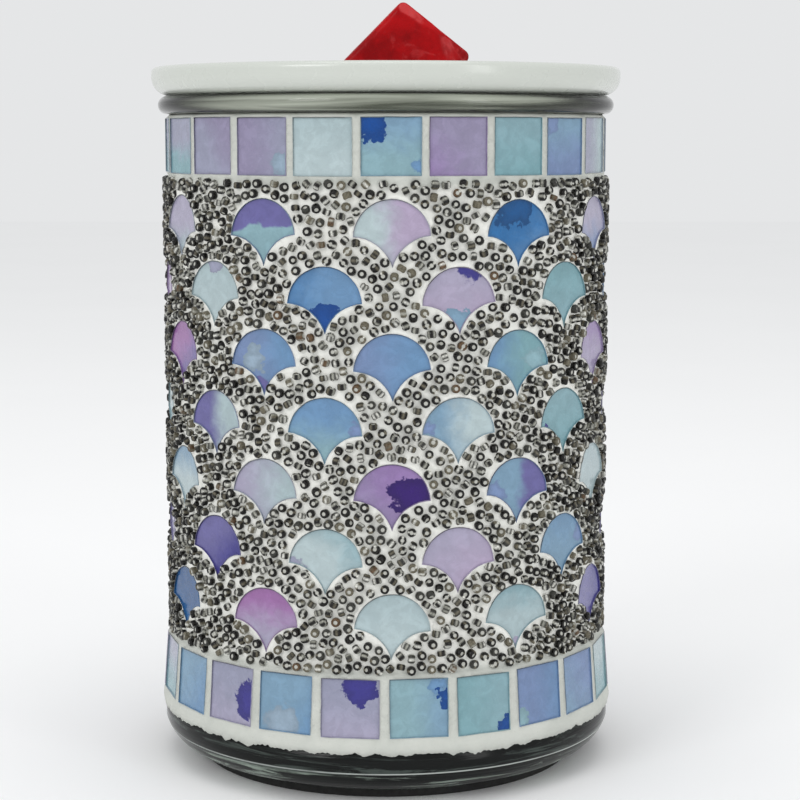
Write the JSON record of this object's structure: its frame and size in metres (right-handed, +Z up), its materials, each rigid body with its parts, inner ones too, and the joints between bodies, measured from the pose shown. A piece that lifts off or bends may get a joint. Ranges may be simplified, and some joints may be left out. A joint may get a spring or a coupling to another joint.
{
  "type": "electric wax warmer",
  "caption": "Lipped glass jar in a mosaic of painted glass tiles, seed beads and grout, with a lamp inside and a lift-off ceramic dish of wax on its mouth.",
  "frame": {"origin": "on the floor, at the centre of the foot pad, on the jar's vertical axis", "axes": "+Z up along the jar's axis, the front as pictured faces -Y, +X to the viewer's right"},
  "size_m": [0.106, 0.106, 0.1716],
  "materials": {
    "jar_glass": "clear pressed glass, slightly green",
    "upper_squares": "flat clear glass with watercolour paint behind it",
    "lower_squares": "flat clear glass with watercolour paint behind it",
    "scale_row_1": "flat clear glass with watercolour paint behind it",
    "scale_row_2": "flat clear glass with watercolour paint behind it",
    "scale_row_3": "flat clear glass with watercolour paint behind it",
    "scale_row_4": "flat clear glass with watercolour paint behind it",
    "scale_row_5": "flat clear glass with watercolour paint behind it",
    "scale_row_6": "flat clear glass with watercolour paint behind it",
    "scale_row_7": "flat clear glass with watercolour paint behind it",
    "grout": "off-white cement grout, matt, wiped by hand",
    "seed_beads": "dark silver-lined glass seed beads",
    "pad_rubber": "matt black",
    "zinc_steel": "zinc plated",
    "zinc_nut": "zinc plated",
    "gasket_silicone": "grey silicone",
    "plate_enamel": "black, satin",
    "sleeve_enamel": "black, satin",
    "holder_phenolic": "moulded phenolic",
    "holder_porcelain": "unglazed porcelain",
    "shell_brass": "rolled, bright",
    "contact_bronze": "spring bronze",
    "screw_steel": "zinc plated",
    "tip_solder": "solder",
    "cap_black_glass": "black glass",
    "cap_metal": "rolled",
    "bulb_clear_glass": "clear",
    "stem_glass": "clear",
    "lead_wire": "nickel wire",
    "filament_tungsten": "coiled tungsten",
    "dish_glaze": "white glaze",
    "red_wax": "paraffin wax, broken facets"
  },
  "bodies": {
    "jar": {"glass_jar": "jar_glass", "upper_square_tiles": "upper_squares", "lower_square_tiles": "lower_squares", "scale_tiles_row_1": "scale_row_1", "scale_tiles_row_2": "scale_row_2", "scale_tiles_row_3": "scale_row_3", "scale_tiles_row_4": "scale_row_4", "scale_tiles_row_5": "scale_row_5", "scale_tiles_row_6": "scale_row_6", "scale_tiles_row_7": "scale_row_7", "grout_coat": "grout", "bead_field": "seed_beads", "foot_pad": "pad_rubber", "hollow_rod": "zinc_steel", "bottom_nut": "zinc_nut", "top_nut": "zinc_nut", "bottom_gasket": "gasket_silicone", "top_gasket": "gasket_silicone", "lamp_base_plate": "plate_enamel", "spacer_sleeve": "sleeve_enamel", "lamp_holder_cap": "holder_phenolic", "lamp_holder_body": "holder_phenolic", "lamp_holder_insulator": "holder_porcelain", "threaded_shell": "shell_brass", "centre_contact": "contact_bronze", "terminal_screws": "screw_steel"},
    "bulb_tip": {"bulb_tip_contact": "tip_solder"},
    "bulb": {"bulb_insulator": "cap_black_glass", "bulb_cap": "cap_metal", "bulb_glass": "bulb_clear_glass", "bulb_stem": "stem_glass", "bulb_lead_wires": "lead_wire", "bulb_filament": "filament_tungsten"},
    "dish": {"wax_dish": "dish_glaze"},
    "wax": {"wax_melt": "red_wax"}
  },
  "joints": [
    {"name": "dish_lift", "type": "slide", "parent": "jar", "child": "dish", "axis": [0, 0, 1], "range_m": [0, 0.07]},
    {"name": "wax_lift", "type": "slide", "parent": "dish", "child": "wax", "axis": [0, 0, 1], "range_m": [0, 0.05]},
    {"name": "bulb_rise", "type": "slide", "parent": "jar", "child": "bulb_tip", "axis": [0, 0, 1], "range_m": [0, 0.0142]},
    {"name": "bulb_turn", "type": "hinge", "parent": "bulb_tip", "child": "bulb", "pos_m": [0, 0, 0.08], "axis": [0, 0, 1], "range_deg": [0, 1800]}
  ],
  "couplings": [
    {"joint": "bulb_rise", "follows": "bulb_turn", "m_per_rad": 0.00044882}
  ]
}
